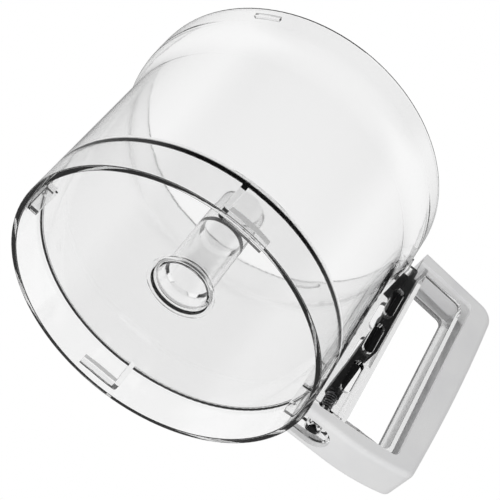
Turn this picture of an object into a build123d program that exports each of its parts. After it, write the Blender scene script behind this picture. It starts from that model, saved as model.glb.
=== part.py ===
from build123d import *
import math
import os

# Food processor work bowl with its handle.
# Frame: origin on the bowl's axis at the skirt's bottom rim, +Z up towards the mouth,
# +X towards the handle. Millimetres.

# ---- bowl moulding: driving dimensions ----
SKIRT_R = 90.0            # outer radius of the skirt at the bottom rim
SKIRT_WALL = 3.2          # thickness of the skirt at its rim
WALL = 3.0                # thickness of the bowl's side wall
WALL_TOP = (92.0, 111.0)  # radius and height where the straight wall meets the flare
FLARE_MID = (94.85, 124.0)
FLARE_TOP = (97.7, 137.0)
RIM_TOP = (98.1, 151.0)   # outer edge of the mouth
FLOOR_UNDER_Z = 23.3
FLOOR_THICK = 3.0
FLOOR_CORNER_R = 1.6
SKIRT_CORNER_R = 0.6      # under the floor, where the skirt starts
SKIRT_EDGE_R = 0.5
MOUTH_EDGE_R = 0.9

TUBE_R = 14.3             # central drive tube, outside
TUBE_TOP_Z = 96.0
TUBE_BORE_R = 12.4
TUBE_SHOULDER_Z = 67.0
TUBE_NECK_R = 11.4        # narrower bore above the shoulder
SHOULDER_RISE = 4.0
TUBE_ROOT_R = 5.4
TUBE_EDGE_R = 2.2         # rounding at the tube's top, outside
NECK_EDGE_R = 0.5
COLLAR_R = 19.9           # ring under the floor, around the tube's mouth
COLLAR_MOUTH_R = 17.5
COLLAR_Z = 21.9
COLLAR_STEP = (16.9, 24.0)
BORE_LEAD_R = 15.2        # the bore starts with this radius and tapers in
BORE_FOOT_Z = 33.0

# bayonet lugs inside the skirt, which lock on the motor base
LUG_STARTS = (-182.2, -94.5, -15.3, 85.5)  # degrees from the handle
LUG_SPAN = 18.4
LUG_FACE_X = 80.3         # distance of the lug's flat inner face from the axis
LUG_LOW_Z = 4.0
LUG_HIGH_Z = 7.4
LUG_DROP = 0.7            # the free end of the ledge ramps down by this
LUG_RIB = 3.0
LUG_CORNER_R = 1.2

# lid ramps inside the mouth
LID_RAMPS = ((-128.0, 9.0), (42.5, 9.5))   # start and span, degrees
RAMP_LOW_Z = 144.0
RAMP_HIGH_Z = 146.2
RAMP_DEPTH = 2.0

# ---- handle: driving dimensions ----
FRAME_HALF = 10.6         # half width of the clear frame
FRAME_WALL = 2.4
CHANNEL_HALF = 7.2        # half width of the interlock channel, inside
CHANNEL_INNER_X = 107.0   # channel side of the wall between channel and hand hole
HOLE_X = 109.2            # hand hole, bowl side
HOLE_GRIP_X = 135.5
HOLE_LOW_Z = 12.5
HOLE_TOP_BOWL_Z = 135.2   # height of the hole's ceiling at its bowl side
HOLE_TOP_GRIP_Z = 131.9   # and at its grip side
HOLE_CORNER_R = 4.0
CHANNEL_TOP_Z = 134.0
GUIDE_X = 98.9            # outer face of the lid tab's guide plate on the bowl
GUIDE_LOW_Z = 131.2
GUIDE_TOP_Z = 143.6
FLOOR_PLATE = 2.6

WINDOW_X = 100.4          # obround rinsing windows in both channel walls
WINDOW_SIZE = (6.5, 23.0)
WINDOW_HEIGHTS = (38.5, 70.0, 101.5)
RIB_PITCH = 15.75         # stiffening ribs in the lower arm
RIB_THICK = 1.6

COVER_HALF = 13.6         # half width of the handle's outer cover
COVER_WALL = 3.0
COVER_EDGE_R = 3.0
COVER_LOW_Z = 0.0
COVER_FLAT_X = 112.0      # the underside curves up from here to the heel
COVER_HEEL = (152.7, 6.6)
COVER_HEEL_R = 5.0
COVER_BOW_X = 156.2       # furthest reach of the grip's back
COVER_BOW_Z = 90.0
COVER_TOE = (155.6, 141.7)
COVER_TOE_R = 11.0
COVER_END_X = 103.2       # the top arm stops here, leaving the lid tab's slot
COVER_END_Z = 149.1
FLANK_LOW = (88.0, 6.2)   # edge of the cover's flanks around the hand hole
FLANK_LOW_KNEE = (117.5, 8.8)
FLANK_HEEL = (140.7, 11.4)
FLANK_TOE = (142.0, 135.6)
FLANK_END_Z = 140.3
FLANK_CORNER_R = 4.0
RECESS_HALF = 9.0         # recess in the underside, around the pushrod's tip
RECESS_END_X = 109.0
WELL_R = 8.6              # curved wall of the clear frame round the recess
WELL_WALL = 1.6

# ---- lid interlock ----
ROD_X = 97.8              # axis of the pushrod, spring and washer
STEM_R = 1.9
STEM_CLEARANCE = 0.06
STEM_LOW_Z = 2.1
TIP_R = 2.6
TIP_LOW_Z = 1.4
TIP_TOP_Z = 2.8
TIP_EDGE_R = 0.6
BOSS_R = 4.6
FOOT_R = 4.1
FOOT_LOW_Z = 27.0
FOOT_RIM = 3.0
FOOT_CONE = 4.0           # the foot narrows over this height into the slab
FOOT_CONE_TOP_R = 3.0
SLAB_HALF = 4.0
RAIL_HALF = 5.0           # the thicker rail on the hand side
RAIL_X = 101.0
SLAB_RIGHT_X = 106.5
SLAB_TOP_Z = 130.5
SLAB_BOWL_SIDE = (
    (97.6, SLAB_TOP_Z),
    (94.9, 113.8),
    (98.4, 113.2),
    (99.3, 111.6),
    (100.1, 98.6),
    (99.3, 95.0),
    (99.6, 88.0),
    (97.3, 67.0),
    (96.7, 58.0),
    (94.4, 36.0),
    (94.0, 29.0),
)
SLAB_HAND_SIDE = (
    (101.4, 29.0),
    (101.5, 34.5),
    (103.0, 50.0),
    (103.2, 61.0),
    (104.3, 62.4),
    (105.6, 62.8),
    (SLAB_RIGHT_X, 67.0),
    (SLAB_RIGHT_X, SLAB_TOP_Z),
)
RAIL_LOW_Z = 61.0
POST_X = 103.9
POST_R = 1.8
POST_TOP_Z = 142.4
POST_EDGE_R = 1.4
SPRING_R = 3.0            # radius of the coil's centre line
WIRE_R = 0.4
COILS = 8.75
SPRING_GAP = 0.02         # keeps the wire off the washer and the foot
WASHER_R = 4.0
WASHER_HOLE_R = 2.15
WASHER_THICK = 0.8

BIG = 400.0


def turned(profile):
    """Solid of revolution about Z from a face drawn as (radius, height)."""
    return revolve(Plane.XZ * profile, Axis.Z)


def upright(profile, half_width):
    """Solid from a face drawn as (x, z), reaching half_width each side of Y = 0."""
    return extrude(Plane.XZ * profile, amount=half_width, both=True)


def rounded(profile, corners):
    """Round some corners of a face. Each corner is (x, z, radius)."""
    for x, z, radius in corners:
        corner = profile.vertices().sort_by_distance(Vector(x, z, 0))[0]
        profile = fillet(corner, radius)
    return profile


def ring(outer_r, inner_r, low_z, high_z, x=0.0):
    """Plain ring about a vertical axis at x."""
    height = high_z - low_z
    body = Cylinder(outer_r, height, align=(Align.CENTER, Align.CENTER, Align.MIN))
    if inner_r > 0:
        body -= Cylinder(inner_r, height, align=(Align.CENTER, Align.CENTER, Align.MIN))
    return Pos(x, 0, low_z) * body


def wall_edges(inward):
    """Edges of the side wall from the rim's foot to the mouth, moved inward by a distance."""
    lean = math.atan2(WALL_TOP[0] - SKIRT_R, WALL_TOP[1])
    turn = 2 * math.atan2(FLARE_MID[0] - WALL_TOP[0], FLARE_MID[1] - WALL_TOP[1]) - lean
    foot = (SKIRT_R - inward, 0)
    knee = (WALL_TOP[0] - inward, WALL_TOP[1])
    mid = (FLARE_MID[0] - inward * math.cos(turn), FLARE_MID[1] + inward * math.sin(turn))
    top = (FLARE_TOP[0] - inward, FLARE_TOP[1])
    straight = Line(foot, knee)
    lower = TangentArc(knee, mid, tangent=straight % 1)
    upper = TangentArc(mid, top, tangent=lower % 1)
    mouth = Line(top, (RIM_TOP[0] - inward, RIM_TOP[1]))
    return [straight, lower, upper, mouth]


def bowl_envelope():
    """The bowl's outside as one solid, which the handle's pieces are cut back from."""
    edges = wall_edges(0)
    edges.append(Polyline((RIM_TOP[0], RIM_TOP[1]), (0, RIM_TOP[1]), (0, 0), (SKIRT_R, 0)))
    return turned(make_face(edges))


def bowl_cavity():
    """The space inside the bowl, above its floor."""
    floor_z = FLOOR_UNDER_Z + FLOOR_THICK
    edges = wall_edges(WALL)
    edges.append(Polyline((RIM_TOP[0] - WALL, RIM_TOP[1]), (0, RIM_TOP[1]), (0, 0), (SKIRT_R - WALL, 0)))
    space = turned(make_face(edges)) & ring(BIG, 0, floor_z, RIM_TOP[1])
    corner = space.edges().filter_by(GeomType.CIRCLE).sort_by(Axis.Z)[0]
    return fillet(corner, FLOOR_CORNER_R)


def drive_tube():
    """Hollow column that the drive shaft comes up through, with its collar under the floor."""
    outline = Polyline(
        (TUBE_NECK_R, TUBE_TOP_Z),
        (TUBE_R, TUBE_TOP_Z),
        (TUBE_R, FLOOR_UNDER_Z + FLOOR_THICK),
        (COLLAR_R, FLOOR_UNDER_Z + FLOOR_THICK),
        (COLLAR_R, COLLAR_Z),
        (COLLAR_MOUTH_R, COLLAR_Z),
        COLLAR_STEP,
        (BORE_LEAD_R, COLLAR_STEP[1]),
        (TUBE_BORE_R, BORE_FOOT_Z),
        (TUBE_BORE_R, TUBE_SHOULDER_Z),
        (TUBE_NECK_R, TUBE_SHOULDER_Z + SHOULDER_RISE),
        close=True,
    )
    profile = rounded(
        make_face(outline),
        [
            (TUBE_NECK_R, TUBE_TOP_Z, NECK_EDGE_R),
            (TUBE_R, TUBE_TOP_Z, TUBE_EDGE_R),
            (TUBE_R, FLOOR_UNDER_Z + FLOOR_THICK, TUBE_ROOT_R),
        ],
    )
    return turned(profile)


def bayonet_lug(start):
    """Ledge with a stop rib, standing in from the skirt, from one azimuth onwards."""
    half = LUG_FACE_X * math.tan(math.radians(LUG_SPAN / 2))
    ramp_y = half / 3
    outline = Polyline(
        (-half, FLOOR_UNDER_Z),
        (-half, LUG_LOW_Z),
        (ramp_y, LUG_LOW_Z),
        (half, LUG_LOW_Z - LUG_DROP),
        (half, LUG_HIGH_Z - LUG_DROP),
        (ramp_y, LUG_HIGH_Z),
        (LUG_RIB - half, LUG_HIGH_Z),
        (LUG_RIB - half, FLOOR_UNDER_Z),
        close=True,
    )
    profile = rounded(make_face(outline), [(-half, LUG_LOW_Z, LUG_CORNER_R)])
    skirt_in = SKIRT_R - SKIRT_WALL
    bar = extrude(Plane.YZ * profile, amount=SKIRT_R)
    bar &= ring(skirt_in + 1, 0, 0, FLOOR_UNDER_Z) - Box(2 * LUG_FACE_X, BIG, BIG)
    return Rot(0, 0, start + LUG_SPAN / 2) * bar


def lid_ramp(start, span):
    """Short ledge inside the mouth that a lid's foot turns under."""
    inner = RIM_TOP[0] - WALL - RAMP_DEPTH
    outline = Polyline(
        (inner, RAMP_LOW_Z),
        (inner, RAMP_HIGH_Z),
        (inner + RAMP_DEPTH + 1, RAMP_HIGH_Z + 1),
        (inner + RAMP_DEPTH + 1, RAMP_LOW_Z - 1),
        close=True,
    )
    return Rot(0, 0, start) * revolve(Plane.XZ * make_face(outline), Axis.Z, revolution_arc=span)


def make_bowl():
    """The clear bowl: side wall, floor, skirt, drive tube, lugs and lid ramps in one moulding."""
    skirt_in = SKIRT_R - SKIRT_WALL
    skirt_in_top = skirt_in + (WALL_TOP[0] - SKIRT_R) * FLOOR_UNDER_Z / WALL_TOP[1]
    hollow = make_face(
        Polyline((0, 0), (skirt_in, 0), (skirt_in_top, FLOOR_UNDER_Z), (0, FLOOR_UNDER_Z), close=True)
    )
    hollow = rounded(hollow, [(skirt_in_top, FLOOR_UNDER_Z, SKIRT_CORNER_R)])
    body = bowl_envelope() - turned(hollow) - bowl_cavity()
    body -= ring(COLLAR_MOUTH_R + 1, 0, 0, FLOOR_UNDER_Z + FLOOR_THICK)
    body += drive_tube()
    for height, radius in ((0.0, SKIRT_EDGE_R), (RIM_TOP[1], MOUTH_EDGE_R)):
        circles = body.edges().filter_by(GeomType.CIRCLE)
        body = fillet([edge for edge in circles if edge.center().Z == height], radius)
    for start in LUG_STARTS:
        body += bayonet_lug(start)
    for start, span in LID_RAMPS:
        body += lid_ramp(start, span)
    return body


def handle_bar(inset):
    """The handle's C shaped outside as a solid, with its long outer edges rounded.

    It is filled in on the bowl's side, so that only its outer side is true. A bar moved in
    by the cover's wall is the cover's inside and the clear frame's outside in one.
    """
    half = COVER_HALF - inset
    rise = math.atan2(COVER_END_Z - COVER_TOE[1], COVER_TOE[0] - COVER_END_X)
    low = COVER_LOW_Z + inset
    start = (FLANK_LOW[0], low)
    heel = (COVER_HEEL[0] - inset, COVER_HEEL[1] + inset)
    toe = (COVER_TOE[0] - inset, COVER_TOE[1] - inset)
    end = (COVER_END_X, COVER_END_Z - inset / math.cos(rise))
    flat_end = (COVER_FLAT_X, low)
    outline = [
        Line(start, flat_end),
        TangentArc(flat_end, heel, tangent=(1, 0)),
        ThreePointArc(heel, (COVER_BOW_X - inset, COVER_BOW_Z), toe),
        Line(toe, end),
        Polyline(end, FLANK_LOW, start),
    ]
    corners = [(*heel, COVER_HEEL_R - inset), (*toe, COVER_TOE_R - inset)]
    bar = upright(rounded(make_face(outline), corners), half)
    long_edges = [
        edge
        for edge in bar.edges()
        if abs(abs(edge.center().Y) - half) < 0.001
        and edge.center().X > FLANK_LOW[0] + 1
        and not (edge.center().X < COVER_END_X and edge.center().Z > COVER_HEEL_R)
    ]
    if inset >= COVER_EDGE_R:
        return bar
    return fillet(long_edges, COVER_EDGE_R - inset)


def hand_hole(margin):
    """Face of the hand hole, grown by a margin."""
    left = HOLE_X - margin
    right = HOLE_GRIP_X + margin
    low = HOLE_LOW_Z - margin
    outline = Polyline(
        (left, low),
        (right, low),
        (right, HOLE_TOP_GRIP_Z + margin),
        (left, HOLE_TOP_BOWL_Z + margin),
        close=True,
    )
    radius = HOLE_CORNER_R + margin
    corners = [(right, low, radius), (right, HOLE_TOP_GRIP_Z + margin, radius)]
    return rounded(make_face(outline), corners)


def block(x_range, half_width, z_range):
    """Box between two x and two z, reaching half_width each side of Y = 0."""
    size_x = x_range[1] - x_range[0]
    size_z = z_range[1] - z_range[0]
    centre = Pos((x_range[0] + x_range[1]) / 2, 0, (z_range[0] + z_range[1]) / 2)
    return centre * Box(size_x, 2 * half_width, size_z)


def frame_hollow(envelope):
    """Space between the frame's flanks, outside the hand hole, less what stands in it."""
    far_x = COVER_BOW_X + 10
    far_z = COVER_END_Z + 10
    plate_low = HOLE_LOW_Z - FLOOR_PLATE
    space = block((FLANK_LOW[0] - 5, far_x), FRAME_HALF - FRAME_WALL, (-5, far_z))
    space -= upright(hand_hole(FLOOR_PLATE), BIG)
    space -= block((0, HOLE_X), BIG, (plate_low, far_z))
    for count in (0.5, 1.5):
        x = HOLE_X + count * RIB_PITCH
        space -= block((x, x + RIB_THICK), BIG, (-5, HOLE_LOW_Z))
    space -= ring(BOSS_R, 0, COVER_WALL, plate_low, ROD_X)
    well = ring(WELL_R, WELL_R - WELL_WALL, COVER_WALL, plate_low, RECESS_END_X - RECESS_HALF)
    space -= well & block((RECESS_END_X - RECESS_HALF, far_x), BIG, (-5, far_z))
    return space & envelope


def make_handle_frame(bowl_outside):
    """Clear frame: interlock channel beside the bowl, and the ribbed core of the handle."""
    envelope = handle_bar(COVER_WALL)
    plate_low = HOLE_LOW_Z - FLOOR_PLATE
    body = envelope + block((FLANK_LOW[0] - 5, COVER_END_X), FRAME_HALF, (plate_low, CHANNEL_TOP_Z))
    body -= block((0, COVER_END_X), BIG, (CHANNEL_TOP_Z, BIG))
    body -= upright(hand_hole(0), BIG)
    body -= frame_hollow(envelope)
    body -= block((0, CHANNEL_INNER_X), CHANNEL_HALF, (HOLE_LOW_Z, BIG))
    window = SlotCenterToCenter(WINDOW_SIZE[1] - WINDOW_SIZE[0], WINDOW_SIZE[0])
    for height in WINDOW_HEIGHTS:
        body -= upright(Pos(WINDOW_X, height) * Rot(0, 0, 90) * window, BIG)
    body += block((FLANK_LOW[0], GUIDE_X), CHANNEL_HALF, (GUIDE_LOW_Z, GUIDE_TOP_Z))
    body -= ring(STEM_R + STEM_CLEARANCE, 0, 0, HOLE_LOW_Z + 1, ROD_X)
    return body - bowl_outside


def make_handle_cover(bowl_outside):
    """Opaque outer cover: a U section shell wrapped round the frame's lower arm, grip and top."""
    body = handle_bar(0) - handle_bar(COVER_WALL)
    reach = Polyline(
        (COVER_END_X, COVER_END_Z + 5),
        (COVER_END_X, FLANK_END_Z),
        FLANK_TOE,
        FLANK_HEEL,
        FLANK_LOW_KNEE,
        FLANK_LOW,
        (FLANK_LOW[0] - 20, FLANK_LOW[1]),
        (FLANK_LOW[0] - 20, COVER_END_Z + 5),
        close=True,
    )
    corners = [(*FLANK_TOE, FLANK_CORNER_R), (*FLANK_HEEL, FLANK_CORNER_R)]
    body -= upright(rounded(make_face(reach), corners), BIG)
    recess = block((0, RECESS_END_X - RECESS_HALF), RECESS_HALF, (-1, COVER_WALL))
    recess += ring(RECESS_HALF, 0, -1, COVER_WALL, RECESS_END_X - RECESS_HALF)
    return body - recess - bowl_outside


def make_interlock_slider():
    """Black slider: a slab that the lid's tab presses down, on a round stem."""
    outline = make_face(Polyline(*SLAB_BOWL_SIDE, *SLAB_HAND_SIDE, close=True))
    body = upright(outline, SLAB_HALF)
    rail_at = Location((RAIL_X, RAIL_LOW_Z, 0))
    rail = outline & rail_at * Rectangle(BIG, BIG, align=(Align.MIN, Align.MIN))
    body += upright(rail, RAIL_HALF)
    body += ring(FOOT_R, 0, FOOT_LOW_Z, FOOT_LOW_Z + FOOT_RIM, ROD_X)
    cone = Cone(FOOT_R, FOOT_CONE_TOP_R, FOOT_CONE, align=(Align.CENTER, Align.CENTER, Align.MIN))
    body += Pos(ROD_X, 0, FOOT_LOW_Z + FOOT_RIM) * cone
    body += ring(STEM_R, 0, STEM_LOW_Z, FOOT_LOW_Z + 1, ROD_X)
    return body


def make_slider_post():
    """Grey post on the slider's top, which follows it up and down beside the lid's slot."""
    post = ring(POST_R, 0, SLAB_TOP_Z, POST_TOP_Z, POST_X)
    return fillet(post.edges().filter_by(GeomType.CIRCLE).sort_by(Axis.Z)[-1], POST_EDGE_R)


def make_rod_tip():
    """Cap pressed on the stem's lower end. It keeps the slider in and presses the switch."""
    tip = ring(TIP_R, 0, TIP_LOW_Z, TIP_TOP_Z, ROD_X)
    tip = fillet(tip.edges().filter_by(GeomType.CIRCLE).sort_by(Axis.Z)[0], TIP_EDGE_R)
    return tip - ring(STEM_R, 0, STEM_LOW_Z, TIP_TOP_Z, ROD_X)


def make_return_spring():
    """Compression spring between the washer and the slider's foot, at its fitted length."""
    low = HOLE_LOW_Z + WASHER_THICK + WIRE_R + SPRING_GAP
    high = FOOT_LOW_Z - WIRE_R - SPRING_GAP
    coil = Helix((high - low) / COILS, high - low, SPRING_R)
    wire = Plane(coil @ 0, z_dir=coil % 0) * Circle(WIRE_R)
    return Pos(ROD_X, 0, low) * sweep(wire, path=coil, is_frenet=True)


def make_spring_washer():
    """Flat washer on the channel's floor, under the spring."""
    return ring(WASHER_R, WASHER_HOLE_R, HOLE_LOW_Z, HOLE_LOW_Z + WASHER_THICK, ROD_X)


if __name__ == "__main__":
    os.makedirs("parts", exist_ok=True)
    outside = bowl_envelope()
    nodes = {
        "bowl": make_bowl(),
        "handle_frame": make_handle_frame(outside),
        "handle_cover": make_handle_cover(outside),
        "interlock_slider": make_interlock_slider(),
        "slider_post": make_slider_post(),
        "rod_tip": make_rod_tip(),
        "return_spring": make_return_spring(),
        "spring_washer": make_spring_washer(),
    }
    for name, solid in nodes.items():
        export_step(solid, f"parts/{name}.step")
        print(name, len(solid.solids()), round(solid.volume), solid.is_valid)
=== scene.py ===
"""Looks of a clear food processor bowl with its side handle and lid interlock.

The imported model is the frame. The classes below dress its parts, put detailed pieces in
the place of the plain ones, and stand the bowl in a plain pale studio. Metres, +Z up,
with the origin on the bowl's axis at its bottom rim and +X towards the handle.
"""

import logging
import math
from dataclasses import dataclass, field
from enum import Enum

import bmesh
import bpy
from mathutils import Matrix, Vector


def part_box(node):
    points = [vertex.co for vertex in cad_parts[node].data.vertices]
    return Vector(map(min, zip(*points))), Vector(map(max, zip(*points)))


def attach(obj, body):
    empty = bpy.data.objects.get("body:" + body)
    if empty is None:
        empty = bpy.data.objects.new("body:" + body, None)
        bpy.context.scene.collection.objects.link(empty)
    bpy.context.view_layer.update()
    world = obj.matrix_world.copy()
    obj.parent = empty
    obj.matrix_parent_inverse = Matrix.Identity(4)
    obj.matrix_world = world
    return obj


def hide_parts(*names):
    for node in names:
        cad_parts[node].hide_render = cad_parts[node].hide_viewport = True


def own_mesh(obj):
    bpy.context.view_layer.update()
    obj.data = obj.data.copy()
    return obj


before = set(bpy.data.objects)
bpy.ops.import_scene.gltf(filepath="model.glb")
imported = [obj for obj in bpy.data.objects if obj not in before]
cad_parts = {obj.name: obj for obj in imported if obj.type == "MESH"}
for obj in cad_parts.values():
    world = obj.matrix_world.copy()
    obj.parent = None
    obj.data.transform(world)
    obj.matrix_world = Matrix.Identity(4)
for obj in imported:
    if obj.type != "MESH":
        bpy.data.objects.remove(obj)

LOG = logging.getLogger("food_processor_bowl")
MM = 0.001

BOWL_BODY = "bowl_body"
SLIDER_BODY = "slider_body"

ROUNDING_STEPS = 2
SAME_POINT = 0.002 * MM
FLAT_ANGLE = math.radians(1)


class Direction(Enum):
    """Way that a finish's marks run on a piece, as the pattern's scale along X, Y and Z."""

    ALL = (1.0, 1.0, 1.0)
    UPRIGHT = (1.0, 1.0, 0.06)
    ACROSS = (1.0, 0.08, 1.0)


# ---------------------------------------------------------------- node helpers


def linear(code: str) -> tuple[float, float, float, float]:
    """Turn an sRGB hex colour into the linear colour that a shader takes.

    Args:
        code: six hex digits, with or without a leading #.

    Returns:
        Red, green, blue and an alpha of one.
    """
    digits = code.lstrip("#")
    parts = [int(digits[at:at + 2], 16) / 255 for at in (0, 2, 4)]
    light = [part / 12.92 if part <= 0.04045 else ((part + 0.055) / 1.055) ** 2.4 for part in parts]
    return (light[0], light[1], light[2], 1.0)


def add_node(
    tree: bpy.types.NodeTree,
    kind: str,
    inputs: dict[str | int, object] | None = None,
    **settings: object,
) -> bpy.types.Node:
    """Add one shader node with its settings, values and links.

    Args:
        tree: node tree that takes the node.
        kind: the node's type, without its ShaderNode prefix.
        inputs: for an input socket, by name or number, its value or the output linked to it.
        settings: attributes of the node itself.

    Returns:
        The new node.
    """
    node = tree.nodes.new("ShaderNode" + kind)
    for name, value in settings.items():
        setattr(node, name, value)
    for name, value in (inputs or {}).items():
        if isinstance(value, bpy.types.NodeSocket):
            tree.links.new(value, node.inputs[name])
        else:
            node.inputs[name].default_value = value
    return node


@dataclass(frozen=True)
class Marks:
    """A noise pattern with a real size, read from Object coordinates.

    Attributes:
        size_mm: distance between one mark and the next.
        low: what the pattern's weakest places give.
        high: what its strongest places give.
        window: part of the noise's range that is spread from low to high.
        direction: which way the marks run.
        detail: how many finer octaves the noise has.
    """

    size_mm: float
    low: float = 0.0
    high: float = 1.0
    window: tuple[float, float] = (0.3, 0.7)
    direction: Direction = Direction.ALL
    detail: float = 3.0

    def output(self, tree: bpy.types.NodeTree) -> bpy.types.NodeSocket:
        """Add the pattern's nodes.

        Args:
            tree: node tree that takes them.

        Returns:
            The socket that gives the pattern's value.
        """
        place = add_node(tree, "TexCoord")
        turned = add_node(
            tree, "Mapping", {"Vector": place.outputs["Object"], "Scale": self.direction.value}
        )
        noise = add_node(
            tree,
            "TexNoise",
            {"Vector": turned.outputs[0], "Scale": 1 / (self.size_mm * MM), "Detail": self.detail},
        )
        spread = add_node(
            tree,
            "MapRange",
            {
                "Value": noise.outputs[0],
                "From Min": self.window[0],
                "From Max": self.window[1],
                "To Min": self.low,
                "To Max": self.high,
            },
        )
        return spread.outputs[0]


def relief(
    tree: bpy.types.NodeTree,
    layers: list[tuple[bpy.types.NodeSocket, float, float]],
) -> bpy.types.NodeSocket:
    """Stack height patterns into one bumped normal.

    Args:
        tree: node tree that takes the nodes.
        layers: height socket, strength and depth in millimetres of each pattern.

    Returns:
        The socket that gives the normal.
    """
    normal = None
    for height, strength, depth_mm in layers:
        inputs = {"Height": height, "Strength": strength, "Distance": depth_mm * MM}
        if normal is not None:
            inputs["Normal"] = normal
        normal = add_node(tree, "Bump", inputs).outputs[0]
    return normal


def new_material(name: str) -> tuple[bpy.types.Material, bpy.types.NodeTree, bpy.types.Node]:
    """Start a material.

    Args:
        name: the finish's name.

    Returns:
        The material, its node tree and its Principled shader.
    """
    material = bpy.data.materials.new(name)
    material.use_nodes = True
    tree = material.node_tree
    return material, tree, tree.nodes["Principled BSDF"]


def fill_shader(shader: bpy.types.Node, inputs: dict[str, object]) -> None:
    """Set or link a shader's sockets.

    Args:
        shader: the Principled shader.
        inputs: value or output socket for each input.
    """
    for name, value in inputs.items():
        if isinstance(value, bpy.types.NodeSocket):
            shader.id_data.links.new(value, shader.inputs[name])
        else:
            shader.inputs[name].default_value = value


# ---------------------------------------------------------------- finishes


@dataclass(frozen=True)
class ClearPolycarbonate:
    """Injection-moulded clear polycarbonate, polished in the mould.

    It is nearly water clear through a wall and smoky grey through a long edge. The melt
    leaves long shallow waves up the wall, and use leaves hair scratches and a faint haze.
    """

    name: str
    tint: str = "#FEFEFE"
    smoke: str = "#000000"
    smoke_per_metre: float = 6.0
    ior: float = 1.585
    flow: Marks = Marks(26.0, direction=Direction.UPRIGHT, detail=2.0)
    flow_strength: float = 0.10
    flow_depth_mm: float = 0.25
    hairs: Marks = Marks(1.6, window=(0.62, 0.78), direction=Direction.ACROSS, detail=4.0)
    hair_strength: float = 0.06
    hair_depth_mm: float = 0.02
    haze: Marks = Marks(34.0, low=0.012, high=0.045)

    def material(self) -> bpy.types.Material:
        """Build the material.

        Returns:
            Clear plastic with a smoky volume.
        """
        material, tree, shader = new_material(self.name)
        layers = [
            (self.flow.output(tree), self.flow_strength, self.flow_depth_mm),
            (self.hairs.output(tree), self.hair_strength, self.hair_depth_mm),
        ]
        fill_shader(
            shader,
            {
                "Base Color": linear(self.tint),
                "Transmission Weight": 1.0,
                "IOR": self.ior,
                "Roughness": self.haze.output(tree),
                "Normal": relief(tree, layers),
            },
        )
        smoke = add_node(
            tree, "VolumeAbsorption", {"Color": linear(self.smoke), "Density": self.smoke_per_metre}
        )
        tree.links.new(smoke.outputs[0], tree.nodes["Material Output"].inputs["Volume"])
        return material


@dataclass(frozen=True)
class SatinPlastic:
    """Opaque moulded plastic with a spark-eroded grain, rubbed smoother where it is handled.

    The light cover is ABS and the black slider is acetal. Both show a fine even grain, a
    slight drift of tone over the moulding and short rub marks along the way it slides.
    """

    name: str
    tone: str
    drift_tone: str
    roughness: float
    polish: float
    ior: float
    specular: float
    grain_mm: float
    grain_depth_mm: float
    rub: Direction
    grain_strength: float = 0.35
    rub_mm: float = 2.4
    rub_strength: float = 0.12
    drift_mm: float = 22.0
    polish_mm: float = 17.0

    def material(self) -> bpy.types.Material:
        """Build the material.

        Returns:
            Opaque plastic with its grain, rub marks, drift of tone and worn places.
        """
        material, tree, shader = new_material(self.name)
        drift = Marks(self.drift_mm, detail=2.0).output(tree)
        grain = Marks(self.grain_mm, window=(0.35, 0.65), detail=1.0).output(tree)
        rubs = Marks(self.rub_mm, window=(0.55, 0.8), direction=self.rub, detail=4.0).output(tree)
        worn = Marks(
            self.polish_mm, low=self.roughness - self.polish, high=self.roughness + self.polish
        ).output(tree)
        tones = {0: drift, 6: linear(self.tone), 7: linear(self.drift_tone)}
        layers = [
            (grain, self.grain_strength, self.grain_depth_mm),
            (rubs, self.rub_strength, self.grain_depth_mm),
        ]
        fill_shader(
            shader,
            {
                "Base Color": add_node(tree, "Mix", tones, data_type="RGBA").outputs[2],
                "IOR": self.ior,
                "Specular IOR Level": self.specular,
                "Roughness": worn,
                "Normal": relief(tree, layers),
            },
        )
        return material


@dataclass(frozen=True)
class WorkedSteel:
    """Bare or blackened steel, drawn or stamped, with oil-dark patches in its low places."""

    name: str
    tone: str
    patch_tone: str
    roughness: float
    line_mm: float
    rub: Direction
    smoother_by: float = 0.08
    rougher_by: float = 0.1
    rough_mm: float = 1.2
    patch_mm: float = 1.9
    line_strength: float = 0.25
    line_depth_mm: float = 0.02

    def material(self) -> bpy.types.Material:
        """Build the material.

        Returns:
            Metal with tool lines and oil-dark patches.
        """
        material, tree, shader = new_material(self.name)
        patches = Marks(self.patch_mm, window=(0.4, 0.65)).output(tree)
        lines = Marks(self.line_mm, direction=self.rub, detail=2.0).output(tree)
        rough = Marks(
            self.rough_mm,
            low=self.roughness - self.smoother_by,
            high=self.roughness + self.rougher_by,
        ).output(tree)
        tones = {0: patches, 6: linear(self.tone), 7: linear(self.patch_tone)}
        fill_shader(
            shader,
            {
                "Base Color": add_node(tree, "Mix", tones, data_type="RGBA").outputs[2],
                "Metallic": 1.0,
                "Roughness": rough,
                "Normal": relief(tree, [(lines, self.line_strength, self.line_depth_mm)]),
            },
        )
        return material


# ---------------------------------------------------------------- mesh helpers


def finish_mesh(bm: bmesh.types.BMesh, name: str, material: bpy.types.Material) -> bpy.types.Object:
    """Turn a bmesh into a piece at the origin, with its faces smooth and pointing outwards.

    Args:
        bm: the shape, which is freed.
        name: the piece's name.
        material: its finish.

    Returns:
        The new object.
    """
    bmesh.ops.recalc_face_normals(bm, faces=bm.faces)
    for face in bm.faces:
        face.smooth = True
    mesh = bpy.data.meshes.new(name)
    bm.to_mesh(mesh)
    bm.free()
    mesh.materials.append(material)
    piece = bpy.data.objects.new(name, mesh)
    bpy.context.scene.collection.objects.link(piece)
    return piece


def dress(node: str, material: bpy.types.Material) -> bpy.types.Object:
    """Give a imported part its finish.

    Args:
        node: the part's name.
        material: the finish.

    Returns:
        The part's object.
    """
    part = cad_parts[node]
    part.data.materials.clear()
    part.data.materials.append(material)
    return part


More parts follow.
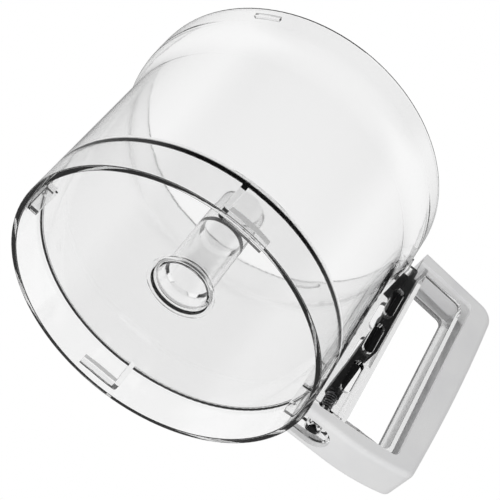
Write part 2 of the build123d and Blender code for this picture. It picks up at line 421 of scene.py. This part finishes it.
def softened_copy(
    node: str, name: str, edge_mm: float, corner_deg: float, material: bpy.types.Material
) -> bpy.types.Object:
    """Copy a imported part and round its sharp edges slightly, as a mould leaves them.

    Args:
        node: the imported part.
        name: the new piece's name.
        edge_mm: width of the rounding.
        corner_deg: edges that turn by more than this are rounded.
        material: the finish.

    Returns:
        The new piece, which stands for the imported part.
    """
    bm = bmesh.new()
    bm.from_mesh(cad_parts[node].data)
    bmesh.ops.remove_doubles(bm, verts=bm.verts, dist=SAME_POINT)
    bmesh.ops.dissolve_limit(bm, angle_limit=FLAT_ANGLE, verts=bm.verts, edges=bm.edges)
    sharp = [
        edge
        for edge in bm.edges
        if len(edge.link_faces) == 2 and edge.calc_face_angle(0) > math.radians(corner_deg)
    ]
    bmesh.ops.bevel(
        bm,
        geom=sharp,
        offset=edge_mm * MM,
        affect="EDGES",
        segments=ROUNDING_STEPS,
        profile=0.5,
        material=-1,
        clamp_overlap=True,
    )
    piece = finish_mesh(bm, name, material)
    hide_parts(node)
    return piece


# ---------------------------------------------------------------- sub-assemblies


@dataclass
class Bowl:
    """The clear bowl moulding, with its skirt, floor, drive tube and lid ramps."""

    finish: ClearPolycarbonate = field(
        default_factory=lambda: ClearPolycarbonate("clear_moulded_polycarbonate")
    )

    def build(self) -> None:
        """Dress the bowl, and let the lamps' light fall through its clear walls."""
        shell = dress("bowl", self.finish.material())
        shell.visible_shadow = False
        shell.visible_diffuse = False
        LOG.info("bowl rides on %s", BOWL_BODY)


@dataclass
class Handle:
    """The clear handle frame beside the bowl and the light grey cover wrapped round it."""

    frame_finish: ClearPolycarbonate = field(
        default_factory=lambda: ClearPolycarbonate(
            "clear_frame_polycarbonate", flow=Marks(14.0, direction=Direction.UPRIGHT, detail=2.0)
        )
    )
    cover_finish: SatinPlastic = SatinPlastic(
        name="light_grey_satin_abs",
        tone="#E4E4E4",
        drift_tone="#DEDEDF",
        roughness=0.42,
        polish=0.06,
        ior=1.53,
        specular=0.5,
        grain_mm=0.7,  # the real grain is about 0.3 mm, drawn coarser so that it shows
        grain_depth_mm=0.05,
        rub=Direction.UPRIGHT,
    )

    def build(self) -> None:
        """Dress the frame and the cover, and let light fall through the clear frame."""
        core = dress("handle_frame", self.frame_finish.material())
        core.visible_shadow = False
        core.visible_diffuse = False
        LOG.info("handle_frame rides on %s", BOWL_BODY)
        dress("handle_cover", self.cover_finish.material())
        LOG.info("handle_cover rides on %s", BOWL_BODY)


@dataclass
class LidInterlock:
    """Black slider with its post and tip, and the spring and washer under its foot."""

    spring_coil_r: float = 3.0 * MM
    wire_r: float = 0.4 * MM
    dead_turns: float = 1.25
    live_turns: float = 6.25
    closed_pitch: float = 2.05  # rise of a closed turn, in wire radii
    steps_per_turn: int = 28
    wire_sides: int = 12
    squashed_to: float = 0.56
    washer_r: float = 4.0 * MM
    washer_hole_r: float = 2.15 * MM
    washer_roll: float = 0.18 * MM
    washer_steps: int = 64
    edge_mm: float = 0.35
    corner_deg: float = 30.0
    slider_finish: SatinPlastic = SatinPlastic(
        name="black_satin_acetal",
        tone="#0C0C0D",
        drift_tone="#101011",
        roughness=0.38,
        polish=0.07,
        ior=1.48,
        specular=0.25,
        grain_mm=0.6,
        grain_depth_mm=0.03,
        rub=Direction.UPRIGHT,
    )
    post_finish: SatinPlastic = SatinPlastic(
        name="dark_grey_satin_acetal",
        tone="#2A2A2B",
        drift_tone="#333334",
        roughness=0.4,
        polish=0.06,
        ior=1.48,
        specular=0.35,
        grain_mm=0.6,
        grain_depth_mm=0.03,
        rub=Direction.UPRIGHT,
    )
    spring_finish: WorkedSteel = WorkedSteel(
        name="drawn_spring_steel",
        tone="#8E8E90",
        patch_tone="#5E5E60",
        roughness=0.34,
        line_mm=0.25,
        rub=Direction.ACROSS,
    )
    washer_finish: WorkedSteel = WorkedSteel(
        name="blackened_stamped_steel",
        tone="#4A4A4C",
        patch_tone="#2C2C2E",
        roughness=0.42,
        line_mm=0.4,
        rub=Direction.ALL,
    )

    def axis_x(self) -> float:
        """Find the spring's axis.

        Returns:
            Its distance from the bowl's axis, in metres.
        """
        low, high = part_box("return_spring")
        return (low[0] + high[0]) / 2

    def build_spring(self) -> None:
        """Wind the spring: closed end turns and open live turns between them."""
        low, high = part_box("return_spring")
        axis_x = self.axis_x()
        start = low[2] + self.wire_r
        closed_rise = self.closed_pitch * self.wire_r * self.dead_turns
        live_rise = high[2] - low[2] - 2 * self.wire_r - 2 * closed_rise
        bm = bmesh.new()
        turn = Matrix.Translation((axis_x + self.spring_coil_r, 0, start)) @ Matrix.Rotation(
            math.pi / 2, 4, "X"
        )
        made = bmesh.ops.create_circle(
            bm, cap_ends=True, segments=self.wire_sides, radius=self.wire_r, matrix=turn
        )
        section = made["verts"]
        for turns, rise in (
            (self.dead_turns, closed_rise),
            (self.live_turns, live_rise),
            (self.dead_turns, closed_rise),
        ):
            steps = round(turns * self.steps_per_turn)
            edges = [edge for edge in bm.edges if all(vert in section for vert in edge.verts)]
            spun = bmesh.ops.spin(
                bm,
                geom=section + edges,
                cent=(axis_x, 0, 0),
                axis=(0, 0, 1),
                dvec=(0, 0, rise / steps),
                angle=math.tau * turns,
                steps=steps,
                use_merge=False,
            )
            section = [item for item in spun["geom_last"] if isinstance(item, bmesh.types.BMVert)]
        edges = [edge for edge in bm.edges if len(edge.link_faces) == 1]
        bmesh.ops.holes_fill(bm, edges=edges, sides=self.wire_sides)
        spring = finish_mesh(bm, "return_spring_coil", self.spring_finish.material())
        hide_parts("return_spring")
        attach(spring, BOWL_BODY)
        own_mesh(spring)

    def build_washer(self) -> None:
        """Stamp the washer, with its edges rolled over."""
        low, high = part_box("spring_washer")
        thick = high[2] - low[2]
        bm = bmesh.new()
        middle = (self.washer_r + self.washer_hole_r) / 2
        width = self.washer_r - self.washer_hole_r
        section = bmesh.ops.create_grid(
            bm,
            x_segments=1,
            y_segments=1,
            size=0.5,
            matrix=Matrix.Translation((self.axis_x() + middle, 0, (low[2] + high[2]) / 2))
            @ Matrix.Rotation(math.pi / 2, 4, "X")
            @ Matrix.Diagonal((width, thick, 1, 1)),
        )["verts"]
        bmesh.ops.delete(bm, geom=bm.faces[:], context="FACES_ONLY")
        bmesh.ops.bevel(
            bm,
            geom=section,
            offset=self.washer_roll,
            affect="VERTICES",
            segments=ROUNDING_STEPS,
            profile=0.5,
            material=-1,
        )
        bmesh.ops.spin(
            bm,
            geom=bm.verts[:] + bm.edges[:],
            cent=(self.axis_x(), 0, 0),
            axis=(0, 0, 1),
            angle=math.tau,
            steps=self.washer_steps,
            use_merge=True,
        )
        washer = finish_mesh(bm, "spring_washer_rolled", self.washer_finish.material())
        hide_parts("spring_washer")
        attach(washer, BOWL_BODY)
        LOG.info("spring_washer_rolled rides on %s", BOWL_BODY)

    def build(self) -> None:
        """Build and dress the interlock."""
        black = self.slider_finish.material()
        slider = softened_copy(
            "interlock_slider", "interlock_slider_moulded", self.edge_mm, self.corner_deg, black
        )
        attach(slider, SLIDER_BODY)
        LOG.info("interlock_slider_moulded rides on %s", SLIDER_BODY)
        dress("slider_post", self.post_finish.material())
        dress("rod_tip", black)
        LOG.info("slider_post and rod_tip ride on %s", SLIDER_BODY)
        self.build_spring()
        self.build_washer()


@dataclass(frozen=True)
class Lamp:
    """A large soft lamp, aimed at the middle of the bowl and not seen in gloss or glass."""

    name: str
    at: tuple[float, float, float]
    size: float
    watts: float

    def hang(self) -> None:
        """Add the lamp to the scene."""
        data = bpy.data.lights.new(self.name, "AREA")
        data.size = self.size
        data.energy = self.watts
        lamp = bpy.data.objects.new(self.name, data)
        bpy.context.scene.collection.objects.link(lamp)
        low, high = (Vector(corner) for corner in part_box("bowl"))
        aim = (low + high) / 2 - Vector(self.at)
        lamp.rotation_euler = aim.to_track_quat("-Z", "Y").to_euler()
        lamp.location = self.at
        lamp.visible_glossy = False
        lamp.visible_transmission = False


@dataclass
class Studio:
    """Plain pale floor, soft light and the camera.

    Attributes:
        camera_at, camera_right, camera_up: the camera's place and two of its axes.
        lens_mm, near_clip: its focal length and the nearest distance that it sees.
        floor_size, floor_drop, floor_tone, floor_roughness: the floor and how far it lies below.
        below, above, horizon: tones of ground and walls, and where one turns into the other.
        mirrored: tone that a mirror-like reflection finds.
        scattered: tone that light finds once it has scattered off a surface.
        flag_way, flag_edge, flag_tone: direction, soft edge and tone of the dark flag.
        lamps: the soft lamps.
    """

    camera_at: tuple[float, float, float] = (0.00564, -0.44790, -0.33999)
    camera_right: tuple[float, float, float] = (0.78967, -0.42773, 0.43984)
    camera_up: tuple[float, float, float] = (-0.61322, -0.52781, 0.58768)
    lens_mm: float = 79.04
    near_clip: float = 10 * MM
    floor_size: float = 24.0
    floor_drop: float = 0.3 * MM
    floor_tone: str = "#EDEDED"
    floor_roughness: float = 0.8
    below: float = 0.2
    above: float = 1.0
    horizon: tuple[float, float] = (0.45, 0.62)
    mirrored: float = 0.4
    scattered: float = 0.62
    flag_way: tuple[float, float, float] = (0.0, -0.73, 0.68)
    flag_edge: tuple[float, float] = (0.55, 0.85)
    flag_tone: float = 0.06
    lamps: tuple[Lamp, ...] = (
        Lamp("under_fill", at=(0.1, -0.5, -1.6), size=2.4, watts=14.0),
        Lamp("left_soft", at=(-1.5, -0.5, -0.6), size=1.2, watts=9.0),
        Lamp("front_soft", at=(0.9, -1.5, 0.5), size=1.2, watts=2.0),
    )

    def build_camera(self) -> None:
        """Place the camera below the bowl, looking up at its underside."""
        data = bpy.data.cameras.new("camera")
        data.lens = self.lens_mm
        data.clip_start = self.near_clip
        camera = bpy.data.objects.new("camera", data)
        bpy.context.scene.collection.objects.link(camera)
        right = Vector(self.camera_right).normalized()
        back = right.cross(Vector(self.camera_up)).normalized()
        up = back.cross(right)
        pose = Matrix((right, up, back)).transposed().to_4x4()
        pose.translation = Vector(self.camera_at)
        camera.matrix_world = pose
        bpy.context.scene.camera = camera

    def build_world(self) -> None:
        """Light the room: white backdrop, bright walls, dimmer ground and a dark flag.

        The flag hangs high in front of the bowl. It keeps veiling light off the clear walls,
        so the black slider stays black behind the frame. Light that has scattered off a
        surface finds one even tone all round.
        """
        world = bpy.data.worlds.new("studio")
        world.use_nodes = True
        tree = world.node_tree
        shader = tree.nodes["Background"]
        way = add_node(tree, "TexCoord").outputs["Generated"]
        split = add_node(tree, "SeparateXYZ", {0: way})
        height = add_node(
            tree, "MapRange", {"Value": split.outputs["Z"], "From Min": -1.0, "From Max": 1.0}
        )
        ramp = add_node(tree, "ValToRGB", {0: height.outputs[0]})
        for stop, at, level in zip(
            ramp.color_ramp.elements, self.horizon, (self.below, self.above)
        ):
            stop.position = at
            stop.color = (level, level, level, 1.0)
        near_flag = add_node(tree, "VectorMath", {0: way, 1: self.flag_way}, operation="DOT_PRODUCT")
        shade = add_node(
            tree,
            "MapRange",
            {
                "Value": near_flag.outputs["Value"],
                "From Min": self.flag_edge[0],
                "From Max": self.flag_edge[1],
            },
            interpolation_type="SMOOTHSTEP",
        )
        path = add_node(tree, "LightPath")
        mirrors = add_node(
            tree,
            "Math",
            {0: path.outputs["Is Glossy Ray"], 1: path.outputs["Is Transmission Ray"]},
            operation="SUBTRACT",
            use_clamp=True,
        )
        tone = ramp.outputs[0]
        for share, level in (
            (mirrors.outputs[0], self.mirrored),
            (shade.outputs[0], self.flag_tone),
            (path.outputs["Diffuse Depth"], self.scattered),
            (path.outputs["Is Camera Ray"], 1.0),
        ):
            inputs = {0: share, 6: tone, 7: (level, level, level, 1.0)}
            tone = add_node(tree, "Mix", inputs, data_type="RGBA").outputs[2]
        tree.links.new(tone, shader.inputs["Color"])
        bpy.context.scene.world = world

    def build_floor(self) -> None:
        """Lay a pale floor that is seen from above only."""
        bm = bmesh.new()
        bmesh.ops.create_grid(
            bm,
            x_segments=1,
            y_segments=1,
            size=self.floor_size / 2,
            matrix=Matrix.Translation((0, 0, -self.floor_drop)),
        )
        mesh = bpy.data.meshes.new("floor")
        bm.to_mesh(mesh)
        bm.free()
        floor = bpy.data.objects.new("floor", mesh)
        bpy.context.scene.collection.objects.link(floor)
        material, tree, shader = new_material("pale_matt_floor")
        fill_shader(shader, {"Base Color": linear(self.floor_tone), "Roughness": self.floor_roughness})
        side = add_node(tree, "NewGeometry")
        clear = add_node(tree, "BsdfTransparent")
        mix = add_node(
            tree,
            "MixShader",
            {0: side.outputs["Backfacing"], 1: shader.outputs[0], 2: clear.outputs[0]},
        )
        tree.links.new(mix.outputs[0], tree.nodes["Material Output"].inputs["Surface"])
        mesh.materials.append(material)
        floor.visible_diffuse = False
        floor.visible_glossy = False
        floor.visible_shadow = False

    def build(self) -> None:
        """Build the studio."""
        bpy.context.scene.view_settings.view_transform = "Standard"
        self.build_camera()
        self.build_world()
        self.build_floor()
        for lamp in self.lamps:
            lamp.hang()
        LOG.info("studio is set")


def main() -> None:
    """Build the object, then the studio."""
    logging.basicConfig(level=logging.INFO, format="%(name)s: %(message)s")
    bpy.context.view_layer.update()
    for assembly in (Bowl(), Handle(), LidInterlock(), Studio()):
        assembly.build()


if __name__ == "__main__":
    main()
